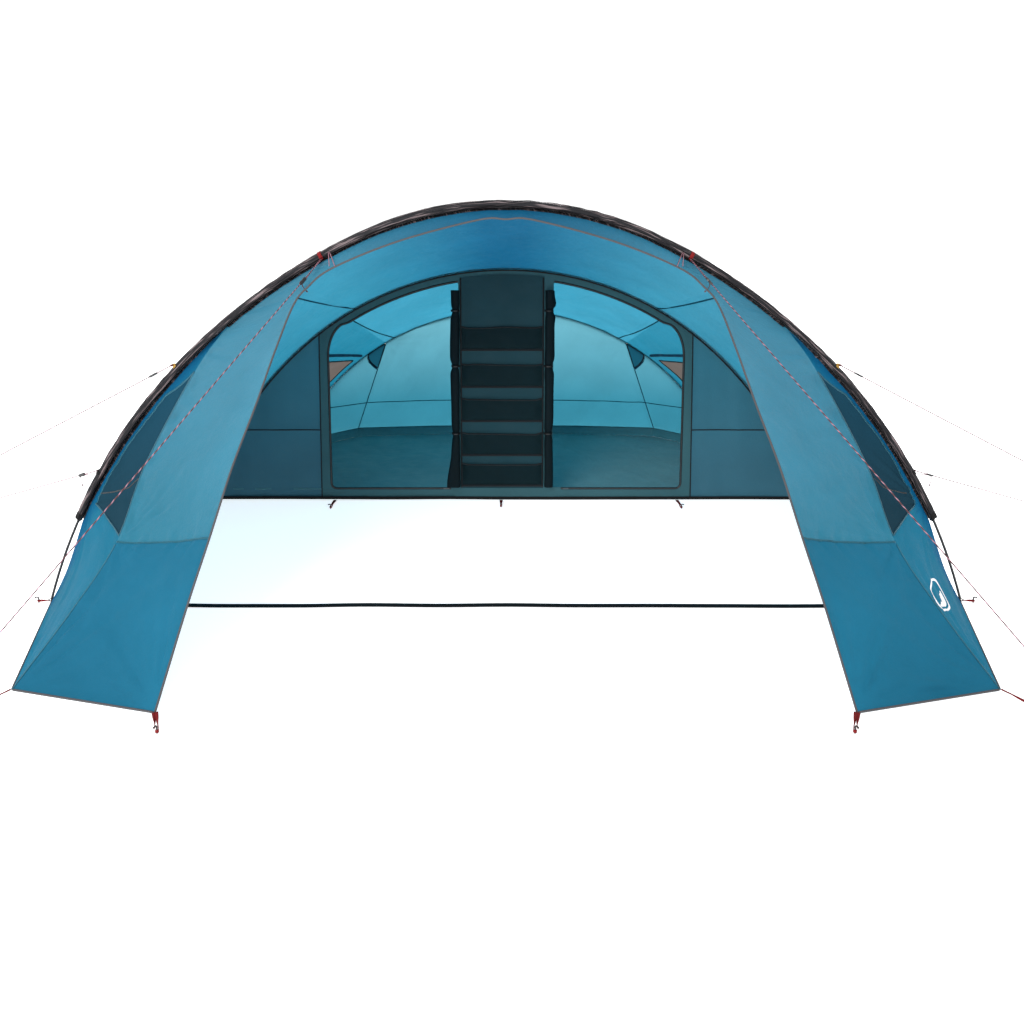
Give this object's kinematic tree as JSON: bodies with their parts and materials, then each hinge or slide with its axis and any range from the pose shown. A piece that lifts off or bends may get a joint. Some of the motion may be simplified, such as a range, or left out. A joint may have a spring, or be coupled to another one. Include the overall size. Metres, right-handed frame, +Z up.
{
  "type": "tunnel tent",
  "caption": "Family tunnel tent on bowed poles with an open porch, pegged front wings, two-door inner wall, organiser, guy lines with runners and pegs.",
  "frame": {"origin": "on the ground under the middle of the groundsheet", "axes": "+X to the right as seen from the porch, -Y out of the porch, +Z up"},
  "size_m": [7.9388, 5.5172, 2.2038],
  "materials": {
    "pole_fibreglass": "pultruded fibreglass rod",
    "steel": "plated steel",
    "elastic": "braided shock cord",
    "sleeve_cloth": "gathered polyester sleeve",
    "fly_cloth": "coated polyester flysheet",
    "window_film": "tinted see-through film",
    "curtain_cloth": "rolled polyester curtain",
    "vent_mesh": "ventilation netting",
    "piping_grey": "sewn edge piping",
    "webbing_black": "polypropylene webbing",
    "webbing_red": "polypropylene webbing",
    "inner_cloth": "breathable polyester",
    "tub_cloth": "welded groundsheet",
    "pocket_mesh": "fine netting",
    "door_cloth": "rolled polyester and netting",
    "zip_tape": "coil zip tape",
    "zip_metal": "die cast, dark",
    "guy_cord": "reflective braided cord",
    "runner_plastic": "moulded nylon",
    "peg_steel": "dark coated steel wire"
  },
  "bodies": {
    "root": {"front_pole": "pole_fibreglass", "middle_pole": "pole_fibreglass", "rear_pole": "pole_fibreglass", "pole_ferrules": "steel", "pole_shock_cords": "elastic", "foot_pins_and_rings": "peg_steel", "front_sleeve": "sleeve_cloth", "middle_sleeve": "sleeve_cloth", "rear_sleeve": "sleeve_cloth", "porch_roof": "fly_cloth", "porch_side_left": "fly_cloth", "porch_side_right": "fly_cloth", "bedroom_roof": "fly_cloth", "bedroom_side_left": "fly_cloth", "bedroom_side_right": "fly_cloth", "rear_wall_centre": "fly_cloth", "rear_wall_left": "fly_cloth", "rear_wall_right": "fly_cloth", "canopy_brow": "fly_cloth", "wing_front_left": "fly_cloth", "wing_front_right": "fly_cloth", "wing_side_left": "fly_cloth", "wing_side_right": "fly_cloth", "wing_window_left": "window_film", "wing_window_right": "window_film", "side_window_left": "window_film", "side_window_right": "window_film", "rolled_curtain_left": "curtain_cloth", "rolled_curtain_right": "curtain_cloth", "corner_vents": "vent_mesh", "edge_piping": "piping_grey", "ground_strap": "webbing_black", "inner_wall": "inner_cloth", "groundsheet": "tub_cloth", "organiser_panel": "inner_cloth", "organiser_pockets": "pocket_mesh", "door_roll_left": "door_cloth", "door_roll_right": "door_cloth", "door_ties": "webbing_black", "zip_tracks": "zip_tape", "guy_bands": "webbing_red", "peg_loops": "webbing_red", "pegs": "peg_steel", "guy_front_left": "guy_cord", "guy_front_right": "guy_cord", "guy_upper_left": "guy_cord", "guy_upper_right": "guy_cord", "guy_lower_left": "guy_cord", "guy_lower_right": "guy_cord"},
    "runner_front_left": {"runner_front_left": "runner_plastic"},
    "runner_front_right": {"runner_front_right": "runner_plastic"},
    "runner_upper_left": {"runner_upper_left": "runner_plastic"},
    "runner_upper_right": {"runner_upper_right": "runner_plastic"},
    "runner_lower_left": {"runner_lower_left": "runner_plastic"},
    "runner_lower_right": {"runner_lower_right": "runner_plastic"},
    "zip_slider_left": {"zip_slider_left": "zip_metal"},
    "zip_pull_left": {"zip_pull_left": "zip_metal"},
    "zip_slider_right": {"zip_slider_right": "zip_metal"},
    "zip_pull_right": {"zip_pull_right": "zip_metal"}
  },
  "joints": [
    {"name": "runner_front_left_slide", "type": "slide", "parent": "root", "child": "runner_front_left", "axis": [-0.4832, -0.5751, -0.6602], "range_m": [-0.06, 0.35]},
    {"name": "runner_front_right_slide", "type": "slide", "parent": "root", "child": "runner_front_right", "axis": [0.4832, -0.5751, -0.6602], "range_m": [-0.06, 0.35]},
    {"name": "runner_upper_left_slide", "type": "slide", "parent": "root", "child": "runner_upper_left", "axis": [-0.8877, -0.0424, -0.4585], "range_m": [-0.06, 0.35]},
    {"name": "runner_upper_right_slide", "type": "slide", "parent": "root", "child": "runner_upper_right", "axis": [0.8877, -0.0424, -0.4585], "range_m": [-0.06, 0.35]},
    {"name": "runner_lower_left_slide", "type": "slide", "parent": "root", "child": "runner_lower_left", "axis": [-0.8614, 0.4108, -0.2987], "range_m": [-0.08, 0.35]},
    {"name": "runner_lower_right_slide", "type": "slide", "parent": "root", "child": "runner_lower_right", "axis": [0.8614, 0.4108, -0.2987], "range_m": [-0.08, 0.35]},
    {"name": "zip_slider_left_slide", "type": "slide", "parent": "root", "child": "zip_slider_left", "axis": [-1, 0, 0], "range_m": [0, 0.7]},
    {"name": "zip_pull_left_hinge", "type": "hinge", "parent": "zip_slider_left", "child": "zip_pull_left", "pos_m": [-0.432, -1.0584, 0.085], "axis": [0, 0, -1], "range_deg": [0, 160]},
    {"name": "zip_slider_right_slide", "type": "slide", "parent": "root", "child": "zip_slider_right", "axis": [1, 0, 0], "range_m": [0, 0.7]},
    {"name": "zip_pull_right_hinge", "type": "hinge", "parent": "zip_slider_right", "child": "zip_pull_right", "pos_m": [0.432, -1.0584, 0.085], "axis": [0, 0, 1], "range_deg": [0, 160]}
  ]
}
